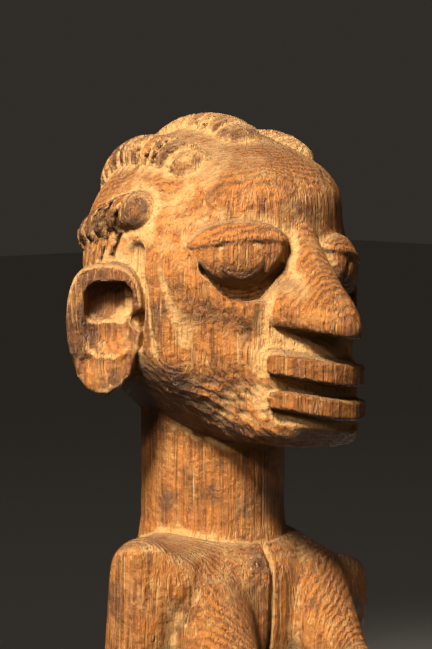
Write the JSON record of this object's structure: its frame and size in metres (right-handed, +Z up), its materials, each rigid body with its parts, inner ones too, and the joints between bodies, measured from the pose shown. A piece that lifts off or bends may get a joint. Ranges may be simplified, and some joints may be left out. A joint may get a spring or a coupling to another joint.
{
  "type": "carved wooden fertility doll",
  "caption": "Standing female figure carved from one block of wood, with crested hair, wide ears, a long neck, arms held to the belly and a round plinth to stand on.",
  "frame": {"origin": "middle of the plinth's underside, where the figure rests", "axes": "+Z up, the figure faces -Y, its right side is at -X"},
  "size_m": [0.076, 0.0768, 0.2507],
  "materials": {
    "carved_wood": "hand-carved, oiled",
    "powdered_wood": "hand-carved, pale powder in the cuts",
    "polished_wood": "hand-worn, semi-gloss"
  },
  "bodies": {
    "root": {"plinth": "carved_wood", "right_foot": "carved_wood", "left_foot": "carved_wood", "right_leg": "carved_wood", "left_leg": "carved_wood", "hips": "carved_wood", "torso": "carved_wood", "navel": "polished_wood", "right_breast": "carved_wood", "left_breast": "carved_wood", "right_arm": "carved_wood", "left_arm": "carved_wood", "right_hand": "polished_wood", "left_hand": "polished_wood", "neck": "carved_wood", "head": "carved_wood", "nose": "polished_wood", "upper_lip": "polished_wood", "lower_lip": "polished_wood", "right_eye": "polished_wood", "left_eye": "polished_wood", "right_ear": "powdered_wood", "left_ear": "powdered_wood", "hair_crest_middle": "powdered_wood", "hair_crest_right_upper": "powdered_wood", "hair_crest_left_upper": "powdered_wood", "hair_crest_right_lower": "powdered_wood", "hair_crest_left_lower": "powdered_wood"}
  },
  "joints": []
}
